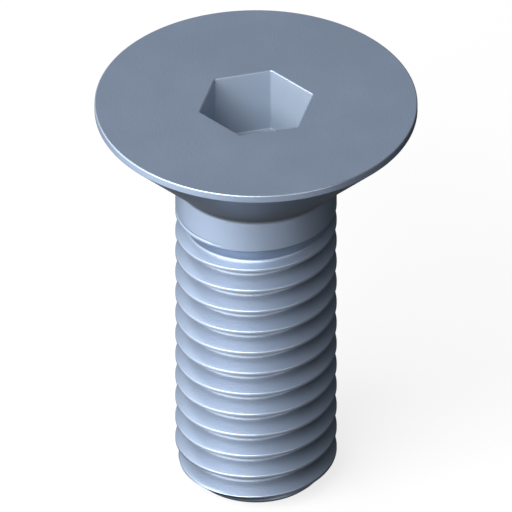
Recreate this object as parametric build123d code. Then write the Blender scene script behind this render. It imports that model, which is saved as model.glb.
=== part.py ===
from build123d import *
import math
import os

# Countersunk machine screw with a hexagon socket, M8 x 22, cold formed in one piece. It stands on the
# flat of its point, with its axis along +Z and the centre of that flat at the origin.
# Lengths are in millimetres and angles in degrees.

# Thread and length. A countersunk screw is measured over its head.
thread_diameter = 8.0
thread_pitch = 1.25
screw_length = 22.0

# Head: a narrow cylindrical rim on a conical seat, with a small radius where the seat meets the shank
head_diameter = 16.0
rim_height = 0.4
seat_angle = 90.0
neck_radius = 0.4

# Socket: a hexagon across its flats, and the shallow cone that the forming punch leaves in its floor
socket_width = 5.0
socket_depth = 3.5
floor_cone_angle = 120.0
floor_land = 0.2

# Point: chamfered until its flat is a little smaller than the root of the thread
point_relief = 0.1
point_angle = 90.0

# An external metric thread is this many pitches deep, from its crest to its rounded root
ROOT_DEPTH_IN_PITCHES = 0.61343
SOCKET_SIDES = 6

shank_radius = thread_diameter / 2
root_radius = shank_radius - ROOT_DEPTH_IN_PITCHES * thread_pitch
head_radius = head_diameter / 2
rim_bottom = screw_length - rim_height
seat_height = (head_radius - shank_radius) / math.tan(math.radians(seat_angle / 2))
seat_bottom = rim_bottom - seat_height
point_radius = root_radius - point_relief
point_height = (shank_radius - point_radius) / math.tan(math.radians(point_angle / 2))
floor_cone_radius = socket_width / 2 - floor_land
floor_cone_depth = floor_cone_radius / math.tan(math.radians(floor_cone_angle / 2))


def turned_blank():
    """The screw without its socket: half its section, from the point up to the head, turned about the axis."""
    neck_corner = (shank_radius, seat_bottom)
    with BuildPart() as blank:
        with BuildSketch(Plane.XZ) as section:
            with BuildLine():
                Polyline(
                    (0, 0),
                    (point_radius, 0),
                    (shank_radius, point_height),
                    neck_corner,
                    (head_radius, rim_bottom),
                    (head_radius, screw_length),
                    (0, screw_length),
                    close=True,
                )
            make_face()
            neck = section.vertices().sort_by_distance(neck_corner)[0]
            fillet(neck, neck_radius)
        revolve(axis=Axis.Z)
    return blank.part


def socket_punch():
    """What the socket leaves empty: a hexagonal prism with two flats across Y, and a cone below its floor."""
    head_top = Plane.XY.offset(screw_length)
    floor = head_top.offset(-socket_depth)
    with BuildPart() as punch:
        with BuildSketch(head_top):
            RegularPolygon(radius=socket_width / 2, side_count=SOCKET_SIDES, major_radius=False)
        extrude(amount=-socket_depth)
        with Locations(floor):
            Cone(0, floor_cone_radius, floor_cone_depth, align=(Align.CENTER, Align.CENTER, Align.MAX))
    return punch.part


def countersunk_screw():
    """The finished screw, one solid."""
    return turned_blank() - socket_punch()


os.makedirs("parts", exist_ok=True)
export_step(countersunk_screw(), "parts/countersunk_screw.step")
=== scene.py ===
import math

import bmesh
import bpy
import numpy as np
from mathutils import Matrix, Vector


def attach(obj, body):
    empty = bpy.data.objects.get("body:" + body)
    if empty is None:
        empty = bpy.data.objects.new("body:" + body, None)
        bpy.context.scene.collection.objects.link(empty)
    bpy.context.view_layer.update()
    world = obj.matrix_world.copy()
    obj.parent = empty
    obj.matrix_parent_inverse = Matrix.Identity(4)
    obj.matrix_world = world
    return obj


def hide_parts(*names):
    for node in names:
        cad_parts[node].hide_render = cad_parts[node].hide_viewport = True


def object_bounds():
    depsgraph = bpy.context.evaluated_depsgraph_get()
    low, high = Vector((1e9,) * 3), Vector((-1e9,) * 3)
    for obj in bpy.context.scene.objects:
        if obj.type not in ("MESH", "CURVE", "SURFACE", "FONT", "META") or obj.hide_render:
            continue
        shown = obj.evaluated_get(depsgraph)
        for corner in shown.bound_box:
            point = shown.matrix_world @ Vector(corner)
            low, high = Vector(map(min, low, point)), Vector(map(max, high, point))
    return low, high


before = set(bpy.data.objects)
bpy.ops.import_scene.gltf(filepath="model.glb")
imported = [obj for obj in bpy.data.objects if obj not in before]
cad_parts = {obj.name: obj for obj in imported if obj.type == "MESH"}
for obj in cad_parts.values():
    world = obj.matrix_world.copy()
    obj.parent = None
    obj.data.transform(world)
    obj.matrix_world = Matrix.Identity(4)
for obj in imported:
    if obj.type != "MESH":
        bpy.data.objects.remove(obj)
cad_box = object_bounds()

# Camera. The photo is an exact isometric view with no perspective: the line of sight falls evenly
# across all three axes, and the picture takes in a square of 25.3 mm. The frame sits a little high
# on the screw, because the head is its widest part.
MM = 0.001
isometric_elevation = math.atan(1 / math.sqrt(2))
camera_azimuth = math.radians(45)
camera_distance = 200 * MM
nearest_seen = 10 * MM
farthest_seen = 2000 * MM
picture_width = 25.34 * MM
picture_shift = 0.045
aim_height = 11.33 * MM

camera = bpy.data.objects.new("camera", bpy.data.cameras.new("camera"))
camera.data.type = "ORTHO"
camera.data.ortho_scale = picture_width
camera.data.shift_y = picture_shift
camera.data.clip_start = nearest_seen
camera.data.clip_end = farthest_seen
bpy.context.scene.collection.objects.link(camera)
bpy.context.scene.camera = camera


def towards(azimuth, elevation):
    """The direction from the screw to a place round it. Azimuth 0 is in front, on -Y, and 90 on +X."""
    flat = math.cos(elevation)
    return Vector((math.sin(azimuth) * flat, -math.cos(azimuth) * flat, math.sin(elevation)))


def aim(thing, azimuth, elevation, distance, height):
    """Sets a camera or a light that far from the screw's axis, looking at the axis at that height."""
    away = towards(azimuth, elevation)
    thing.location = Vector((0, 0, height)) + away * distance
    thing.rotation_mode = "QUATERNION"
    thing.rotation_quaternion = (-away).to_track_quat("-Z", "Y")


aim(camera, camera_azimuth, isometric_elevation, camera_distance, aim_height)

# The screw: M8 x 22, one piece of zinc plated steel. Its head and socket are cold formed and its thread
# is rolled, with crests a little rounded and grooves that run out into a plain neck. Its mesh is one
# skin of rings, from the middle of the point round to the middle of the socket, in millimetres.
top = cad_box[1]
screw_length = round(top.z / MM, 3)
head_radius = round(top.x / MM, 3)
shank_radius = 4.0
thread_pitch = 1.25
rim_height = 0.4
neck_radius = 0.4
edge_radius = 0.06
fine_radius = 0.04

# The point's chamfer and the seat both lie at 45 degrees to the axis, so each is as wide as it is high
ROOT_DEPTH_IN_PITCHES = 0.61343
thread_depth = ROOT_DEPTH_IN_PITCHES * thread_pitch
point_relief = 0.1
point_radius = shank_radius - thread_depth - point_relief
rim_bottom = screw_length - rim_height
seat_bottom = rim_bottom - (head_radius - shank_radius)

# The thread: straight flanks, a flat crest an eighth of a pitch wide, and a root that is one arc
flank_angle = math.radians(30)
flank_slope = 1 / math.tan(flank_angle)
crest_half = thread_pitch / 16
root_arc = thread_pitch * flank_slope / 12
root_half = root_arc * math.cos(flank_angle)
crest_blend = 0.03
point_blend = 0.05
neck_plain = 1.7
runout_pitches = 1.25
runout_length = runout_pitches * thread_pitch
runout_end = seat_bottom - neck_plain
first_crest = -0.22
neck_step = 0.05
thread_start = 0.04
thread_end = runout_end + neck_step

# The socket: its flats face +Y and -Y, its corners are a little rounded, and a cone lies in its floor
socket_width = 5.0
socket_half = socket_width / 2
socket_depth = 3.5
socket_corner = 0.12
socket_floor = screw_length - socket_depth
cone_radius = 2.3
cone_angle = math.radians(120)
cone_bottom = socket_floor - cone_radius / math.tan(cone_angle / 2)

columns = 192
turn = np.linspace(0, 2 * math.pi, columns + 1)


def rounded(corners, radii):
    """An outline of straight runs with round corners: its points, and a 1 for each point on an arc.

    An arc takes the place of a corner and touches both its runs. With b the turn at the corner and s the
    share of the arc gone by, a point is the centre + (sin((1 - s) b) first + sin(s b) last) / sin b, where
    first and last are the arms from the centre to the arc's ends. A guard point just outside each end of
    the arc keeps the shading of the run beside it flat.
    """
    arc_steps = 5
    guard = 0.012
    corners = np.array(corners, float)
    share = np.linspace(0, 1, arc_steps + 1)[:, None]
    points = [corners[0]]
    on_arc = [0]
    for before, corner, after, radius in zip(corners, corners[1:], corners[2:], radii):
        arrive = (corner - before) / np.linalg.norm(corner - before)
        leave = (after - corner) / np.linalg.norm(after - corner)
        bend = math.acos(arrive @ leave)
        reach = radius * math.tan(bend / 2)
        inward = (leave - arrive) / np.linalg.norm(leave - arrive)
        centre = corner + inward * radius / math.cos(bend / 2)
        first = corner - arrive * reach - centre
        last = corner + leave * reach - centre
        arc = centre + (np.sin((1 - share) * bend) * first + np.sin(share * bend) * last) / math.sin(bend)
        points += [corner - arrive * (reach + guard), *arc, corner + leave * (reach + guard)]
        on_arc += [0, *[1] * len(arc), 0]
    points.append(corners[-1])
    on_arc.append(0)
    return np.array(points), np.array(on_arc, float)[:, None]


def turned(outline):
    """Rings round the axis: a point (radius, height) of the outline goes to (r cos t, r sin t, height)."""
    radius, height = outline[:, :1], outline[:, 1:]
    return np.stack([radius * np.cos(turn), radius * np.sin(turn), height + 0 * turn], axis=-1)


def six_sided(outline):
    """Rings parallel to the socket's walls. An outline's point (offset, height) lies that far outside them.

    A ring is a hexagon of straight runs between six small arcs. A point on it is a corner of the hexagon
    that the arcs' centres make, or lies between two of them, moved outwards by the arc's radius and the
    offset, square to the run or along the arc.
    """
    sides = 6
    side_turn = 2 * math.pi / sides
    side_columns = columns // sides
    arc_columns = 4
    guard_share = 0.01
    place = np.arange(columns + 1)
    side, along = place // side_columns, place % side_columns
    here, after = side * side_turn, (side + 1) * side_turn
    run_start, run_end = arc_columns, side_columns - arc_columns
    arc_ends = [0, run_start, run_end, side_columns]
    facing = here + np.interp(along, arc_ends, [0, side_turn / 2, side_turn / 2, side_turn])
    guards = [run_start, run_start + 1, run_end - 1, run_end]
    share = np.interp(along, guards, [0, guard_share, 1 - guard_share, 1])
    reach = (socket_half - socket_corner) / math.cos(side_turn / 2)
    centre_x = reach * ((1 - share) * np.cos(here) + share * np.cos(after))
    centre_y = reach * ((1 - share) * np.sin(here) + share * np.sin(after))
    away = socket_corner + outline[:, :1]
    x = centre_x + away * np.cos(facing)
    y = centre_y + away * np.sin(facing)
    return np.stack([x, y, outline[:, 1:] + 0 * turn], axis=-1)


def smaller(a, b, blend):
    """The smaller of two heights, with the crease between them rounded.

    Where they differ by less than the blend, the square of what is left of it is taken off, divided by
    four times the blend.
    """
    overlap = np.maximum(blend - np.abs(a - b), 0) / blend
    return np.minimum(a, b) - overlap**2 * blend / 4


def groove_depth(along):
    """How deep the thread's groove is, at a distance along the axis from the middle of a crest.

    It is 0 on the crest, and beyond its edge the distance from that edge times the slope of the flank.
    Beside the root it is the height of an arc: the full depth, less the arc's radius, plus the root of
    the radius squared less the distance from the middle of the root squared.
    """
    flank = -smaller(-(np.abs(along) - crest_half) * flank_slope, 0, crest_blend)
    to_root = thread_pitch / 2 - np.abs(along)
    arc = thread_depth - root_arc + np.sqrt(np.maximum(root_arc**2 - to_root**2, 0))
    return np.where(to_root < root_half, arc, flank)


def threaded():
    """Rings that climb one pitch a turn, with their crest mark and how deep they lie, from 0 to 1.

    A ring follows one line of the thread's profile. Its height is its offset plus pitch * t / 2 pi, held
    between the start and the end of the thread, and where it is held it is a plain circle. Its radius is
    the shank's less the groove's depth, which a cone limits at the run-out, and it stays inside the cone
    of the point's chamfer.
    """
    crest_steps, flank_steps, root_steps = 4, 5, 3
    crest_edge = crest_blend / flank_slope
    root_start = thread_pitch / 2 - root_half
    half = np.concatenate([
        [0],
        np.linspace(crest_half - crest_edge, crest_half + crest_edge, crest_steps + 1),
        np.linspace(crest_half + crest_edge, root_start, flank_steps + 1)[1:],
        np.linspace(root_start, thread_pitch / 2, root_steps + 1)[1:],
    ])
    one_pitch = np.concatenate([half, thread_pitch - half[-2:0:-1]])
    pitches = np.arange(-1, math.ceil(thread_end / thread_pitch) + 2) * thread_pitch
    offsets = (pitches[:, None] + one_pitch).ravel()
    climb = first_crest + thread_pitch * turn / (2 * math.pi)
    height = np.clip(offsets[:, None] + climb, thread_start, thread_end)
    along = (height - climb + thread_pitch / 2) % thread_pitch - thread_pitch / 2
    allowed = np.maximum(runout_end - height, 0) * thread_depth / runout_length
    depth = np.maximum(smaller(groove_depth(along), allowed, crest_blend), 0)
    depth = depth * np.minimum(allowed / crest_blend, 1)
    radius = smaller(shank_radius - depth, point_radius + height, point_blend)
    rings = np.stack([radius * np.cos(turn), radius * np.sin(turn), height], axis=-1)
    crest = np.maximum(1 - depth / crest_blend, 0) * np.minimum(allowed / thread_depth, 1)
    return rings, crest, depth / thread_depth


def screw_skin():
    """The whole skin as rings of points, and the three marks from 0 to 1 that the plating reads.

    The edge mark is on the round edges and the thread's crests, where the plating is lightened, partly as
    burnish wear and partly as painted highlight. The mark for the recesses is painted shade: it is
    strongest at the neck under the head, fades up the seat, and follows the thread's depth. The socket mark
    is on its walls and floor. Round rings and six-sided ones meet across flat metal, on the top and on the
    socket's floor, and each margin is how far from the flats, or from the cone's edge, the nearest ring
    lies.
    """
    # How strong the painted shade is at the neck, up the seat and in the thread's roots
    neck_shade, seat_shade, root_shade = 0.9, 0.5, 0.5
    neck_fade, rim_fade, mouth_fade = 0.1, 0.05, 0.1
    top_margin, mouth_margin, floor_margin, cone_margin = 1.1, 0.3, 0.08, 0.06
    point, point_edge = rounded(
        [(0, 0), (point_radius, 0), (point_radius + thread_start, thread_start)],
        [fine_radius],
    )
    thread, crest, deep = threaded()
    head, head_edge = rounded(
        [
            (shank_radius, thread_end + neck_step),
            (shank_radius, seat_bottom),
            (head_radius, rim_bottom),
            (head_radius, screw_length),
            (socket_half + top_margin, screw_length),
        ],
        [neck_radius, edge_radius, edge_radius],
    )
    neck_top = seat_bottom + neck_fade
    neck_foot = seat_bottom - neck_radius / 2
    # Painted shade under the head: strongest at the neck, half as strong up the seat, nothing at the rim
    under_head_shade = np.interp(
        head[:, 1:],
        [neck_foot, neck_top, rim_bottom - rim_fade, rim_bottom + rim_fade],
        [0, neck_shade, seat_shade, 0],
    )
    walls, walls_edge = rounded(
        [(mouth_margin, screw_length), (0, screw_length), (0, socket_floor), (-floor_margin, socket_floor)],
        [edge_radius, fine_radius],
    )
    in_socket = np.interp(walls[:, 1:], [screw_length - mouth_fade, screw_length], [1, 0])
    cone, cone_edge = rounded(
        [(cone_radius + cone_margin, socket_floor), (cone_radius, socket_floor), (0, cone_bottom)],
        [fine_radius],
    )
    stretches = [
        (turned(point[:-1]), point_edge[:-1], 0, 0),
        # Painted shade in the thread's roots, by their depth; the crests carry the edge mark
        (thread, crest, deep * root_shade, 0),
        (turned(head), head_edge, under_head_shade, 0),
        (six_sided(walls), walls_edge, 0, in_socket),
        (turned(cone), cone_edge, 0, 1),
    ]
    marks = {
        name: np.vstack([np.broadcast_to(stretch[place], stretch[0].shape[:2]) for stretch in stretches])
        for place, name in enumerate(("edge", "painted_shade", "socket"), start=1)
    }
    return np.vstack([stretch[0] for stretch in stretches]), marks


def mesh_of_rings(name, rings, marks):
    """A closed mesh from rings of points in millimetres: four-sided faces between each ring and the next.

    Where points fall together, at the poles, the seam and the ends of the thread, they are merged.
    """
    merge_distance = 0.0001 * MM
    rows, across = rings.shape[:2]
    corner = (np.arange(rows - 1)[:, None] * across + np.arange(across - 1)).ravel()
    faces = np.stack([corner, corner + 1, corner + across + 1, corner + across], axis=1)
    mesh = bpy.data.meshes.new(name)
    mesh.from_pydata(rings.reshape(-1, 3) * MM, [], faces)
    for mark, values in marks.items():
        attribute = mesh.attributes.new(mark, "FLOAT", "POINT")
        attribute.data.foreach_set("value", values.astype(np.float32).ravel())
    skin = bmesh.new()
    skin.from_mesh(mesh)
    bmesh.ops.remove_doubles(skin, verts=skin.verts, dist=merge_distance)
    skin.to_mesh(mesh)
    skin.free()
    mesh.polygons.foreach_set("use_smooth", np.ones(len(mesh.polygons), bool))
    return mesh


class Link:
    """One output of a material's nodes. Arithmetic on it adds Math nodes, so that it reads as a formula."""

    def __init__(self, tree, output=None):
        self.tree = tree
        self.output = output

    def node(self, kind, settings, sockets, output=0):
        """Adds a node with its settings, and the value or link of each socket. Gives one of its outputs."""
        made = self.tree.nodes.new(kind)
        for name, value in settings.items():
            setattr(made, name, value)
        for name, value in sockets.items():
            if isinstance(value, Link):
                self.tree.links.new(value.output, made.inputs[name])
            else:
                made.inputs[name].default_value = value
        return Link(self.tree, made.outputs[output] if len(made.outputs) else None)

    def mark(self, name):
        """What a mark on the mesh's points says."""
        return self.node("ShaderNodeAttribute", {"attribute_name": name}, {}, "Fac")

    def blended(self, share, first, second):
        """A colour that is the first where the share is 0, and the second where it is 1."""
        factor, colour_a, colour_b, colour_out = 0, 6, 7, 2
        sockets = {factor: share, colour_a: first, colour_b: second}
        return self.node("ShaderNodeMix", {"data_type": "RGBA"}, sockets, colour_out)

    def math(self, operation, first, second):
        """The result of one Math node."""
        return self.node("ShaderNodeMath", {"operation": operation}, {0: first, 1: second})

    def __add__(self, other):
        return self.math("ADD", self, other)

    def __radd__(self, other):
        return self.math("ADD", other, self)

    def __sub__(self, other):
        return self.math("SUBTRACT", self, other)

    def __rsub__(self, other):
        return self.math("SUBTRACT", other, self)

    def __mul__(self, other):
        return self.math("MULTIPLY", self, other)

    def __rmul__(self, other):
        return self.math("MULTIPLY", other, self)

    def __pow__(self, other):
        return self.math("POWER", self, other)


def zinc_plating():
    """Zinc plate with a faintly blue clear passivation: satin, cloudy by a few percent, with a fine grain.

    It is a little burnished on the edges and crests, which are also lightened as a painted highlight. In
    the roots of the thread and under the head it is darkened as painted shade, and made rougher, and it is
    matt in the socket, over the skin that the punch left. The clear film also keeps it from turning white
    where it is seen edge on.
    """
    plate_colour = (0.29, 0.36, 0.48, 1)
    # Lighter colour for the edges and crests, partly burnish wear and partly painted highlight, and for the
    # random clouds
    wear_and_highlight_colour = (0.39, 0.44, 0.52, 1)
    # Painted shade colour for the thread's roots and the underside of the head
    painted_shade_colour = (0.14, 0.15, 0.16, 1)
    socket_colour = (0.30, 0.36, 0.44, 1)
    edge_on_tint = (0.3, 0.3, 0.3, 1)
    edge_wear_and_highlight, worn_by_clouds = 0.5, 0.25
    satin_roughness = 0.4
    rough_by_clouds, rough_by_grain = 0.12, 0.08
    rough_in_recess, rough_in_socket = 0.15, 0.2
    smooth_by_burnishing = 0.08
    plate_metallic = 0.8
    socket_metallic = 0.25
    clouds_in_a_metre = 350
    grains_in_a_metre = 7000
    noise_detail = 3
    noise_middle = 0.5
    grain_strength = 0.5
    grain_height = 0.012 * MM

    material = bpy.data.materials.new("zinc_plating")
    material.use_nodes = True
    material.node_tree.nodes.clear()
    start = Link(material.node_tree)
    place = start.node("ShaderNodeTexCoord", {}, {}, "Object")
    cloud, grain = (
        start.node("ShaderNodeTexNoise", {}, {"Vector": place, "Scale": scale, "Detail": noise_detail})
        for scale in (clouds_in_a_metre, grains_in_a_metre)
    )
    cloudy = cloud - noise_middle
    grainy = grain - noise_middle
    painted_shade = start.mark("painted_shade")
    socket = start.mark("socket")
    burnish_and_highlight = start.mark("edge") * (1 - painted_shade)

    # Painted highlight and burnish wear lighten the edges and crests; the clouds vary the tone at random
    wear_and_highlight = burnish_and_highlight * edge_wear_and_highlight + cloudy * worn_by_clouds
    # Painted shade: the colour darkens towards near black in the thread's roots and under the head
    colour = start.blended(painted_shade, plate_colour, painted_shade_colour)
    colour = start.blended(socket, colour, socket_colour)
    colour = start.blended(wear_and_highlight, colour, wear_and_highlight_colour)
    uneven = cloudy * rough_by_clouds + grainy * rough_by_grain
    matt = painted_shade * rough_in_recess + socket * rough_in_socket
    roughness = satin_roughness + uneven + matt - burnish_and_highlight * smooth_by_burnishing
    metallic = plate_metallic - socket * (plate_metallic - socket_metallic)
    bump = start.node(
        "ShaderNodeBump", {}, {"Strength": grain_strength, "Distance": grain_height, "Height": grain}
    )
    surface = start.node(
        "ShaderNodeBsdfPrincipled",
        {},
        {
            "Base Color": colour,
            "Roughness": roughness,
            "Metallic": metallic,
            "Specular Tint": edge_on_tint,
            "Normal": bump,
        },
    )
    start.node("ShaderNodeOutputMaterial", {}, {"Surface": surface})
    return material


screw = bpy.data.objects.new("threaded_screw", mesh_of_rings("threaded_screw", *screw_skin()))
bpy.context.scene.collection.objects.link(screw)
screw.data.materials.append(zinc_plating())
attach(screw, "root")
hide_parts("countersunk_screw")

# Studio: a table of white card, a sky that glows low on the left, and three soft boxes. Table and sky
# are plain white to the camera alone. A dark patch, which the camera doesn't see, is painted shade: it
# keeps light from below off the screw, in place of the shadow the table would hold there. Both sheets
# lie a hair below the flat of the point.
table_radius = 600 * MM
table_drop = 0.005 * MM
patch_radius = 7 * MM
patch_drop = 0.02 * MM
WHITE = (1, 1, 1, 1)


def bright_card():
    """White card that is mostly bright by itself, so that its shadows stay pale."""
    glow_strength = 0.78
    card_grey = (0.15, 0.15, 0.15, 1)
    material = bpy.data.materials.new("bright_card")
    material.use_nodes = True
    material.node_tree.nodes.clear()
    start = Link(material.node_tree)
    glow = start.node("ShaderNodeEmission", {}, {"Color": WHITE, "Strength": glow_strength})
    card = start.node("ShaderNodeBsdfDiffuse", {}, {"Color": card_grey})
    both = start.node("ShaderNodeAddShader", {}, {0: glow, 1: card})
    start.node("ShaderNodeOutputMaterial", {}, {"Surface": both})
    return material


def shade_sheet():
    """A black sheet, for the patch of painted shade under the screw."""
    shade_black = (0.02, 0.02, 0.02, 1)
    material = bpy.data.materials.new("shade_sheet")
    material.use_nodes = True
    material.node_tree.nodes.clear()
    start = Link(material.node_tree)
    shade_bsdf = start.node("ShaderNodeBsdfDiffuse", {}, {"Color": shade_black})
    start.node("ShaderNodeOutputMaterial", {}, {"Surface": shade_bsdf})
    return material


def disc(name, radius, height, material):
    """A flat round sheet: a point at a turn t of its rim is (r cos t, r sin t, height)."""
    rim_turn = turn[:-1]
    rim = np.stack([radius * np.cos(rim_turn), radius * np.sin(rim_turn), height + 0 * rim_turn], axis=1)
    mesh = bpy.data.meshes.new(name)
    mesh.from_pydata(rim, [], [list(range(len(rim)))])
    mesh.materials.append(material)
    made = bpy.data.objects.new(name, mesh)
    bpy.context.scene.collection.objects.link(made)
    return made


table = disc("table", table_radius, -table_drop, bright_card())
table.visible_diffuse = False
table.visible_glossy = False
# Painted shade: a dark sheet under the screw, hidden from the camera, that darkens the point as the table's
# shadow would
patch = disc("dark_patch", patch_radius, -patch_drop, shade_sheet())
patch.visible_camera = False


def studio_sky():
    """A sky that is plain white to the camera, and a soft glow to everything else.

    The glow is strength * ((1 + cos a) / 2) ** focus, where a is the angle from its middle, and it is
    faded out towards the nadir. A little even light is added to it all round.
    """
    glow_azimuth, glow_elevation = -28, -10
    glow_middle = tuple(towards(math.radians(glow_azimuth), math.radians(glow_elevation)))
    glow_strength = 2.9
    glow_focus = 2.5
    dark_below, full_above = -0.85, -0.3
    even_light = 0.05

    world = bpy.data.worlds.new("studio_sky")
    world.use_nodes = True
    world.node_tree.nodes.clear()
    start = Link(world.node_tree)
    facing = start.node("ShaderNodeTexCoord", {}, {}, "Generated")
    cosine = start.node(
        "ShaderNodeVectorMath", {"operation": "DOT_PRODUCT"}, {0: facing, 1: glow_middle}, "Value"
    )
    rise = start.node("ShaderNodeSeparateXYZ", {}, {0: facing}, "Z")
    above_nadir = start.node(
        "ShaderNodeMapRange",
        {"interpolation_type": "SMOOTHSTEP"},
        {"Value": rise, "From Min": dark_below, "From Max": full_above},
    )
    share = (cosine + 1) * 0.5
    glow = glow_strength * share**glow_focus * above_nadir + even_light
    seen = start.node("ShaderNodeLightPath", {}, {}, "Is Camera Ray")
    strength = glow * (1 - seen) + seen
    background = start.node("ShaderNodeBackground", {}, {"Color": WHITE, "Strength": strength})
    start.node("ShaderNodeOutputWorld", {}, {"Surface": background})
    return world


bpy.context.scene.world = studio_sky()


def soft_box(name, azimuth, elevation, width, height, power):
    """A soft box that faces the middle of the screw: its size in millimetres, and its power in watts."""
    distance = 250
    light = bpy.data.lights.new(name, "AREA")
    light.shape = "RECTANGLE"
    light.size = width * MM
    light.size_y = height * MM
    light.energy = power
    box = bpy.data.objects.new(name, light)
    box.visible_camera = False
    bpy.context.scene.collection.objects.link(box)
    aim(box, math.radians(azimuth), math.radians(elevation), distance * MM, screw_length * MM / 2)


soft_box("key", azimuth=6, elevation=40, width=260, height=150, power=1.2)
soft_box("side", azimuth=-95, elevation=50, width=100, height=100, power=0.1)
soft_box("fill", azimuth=80, elevation=0, width=150, height=150, power=0.14)

bpy.context.scene.view_settings.view_transform = "Standard"
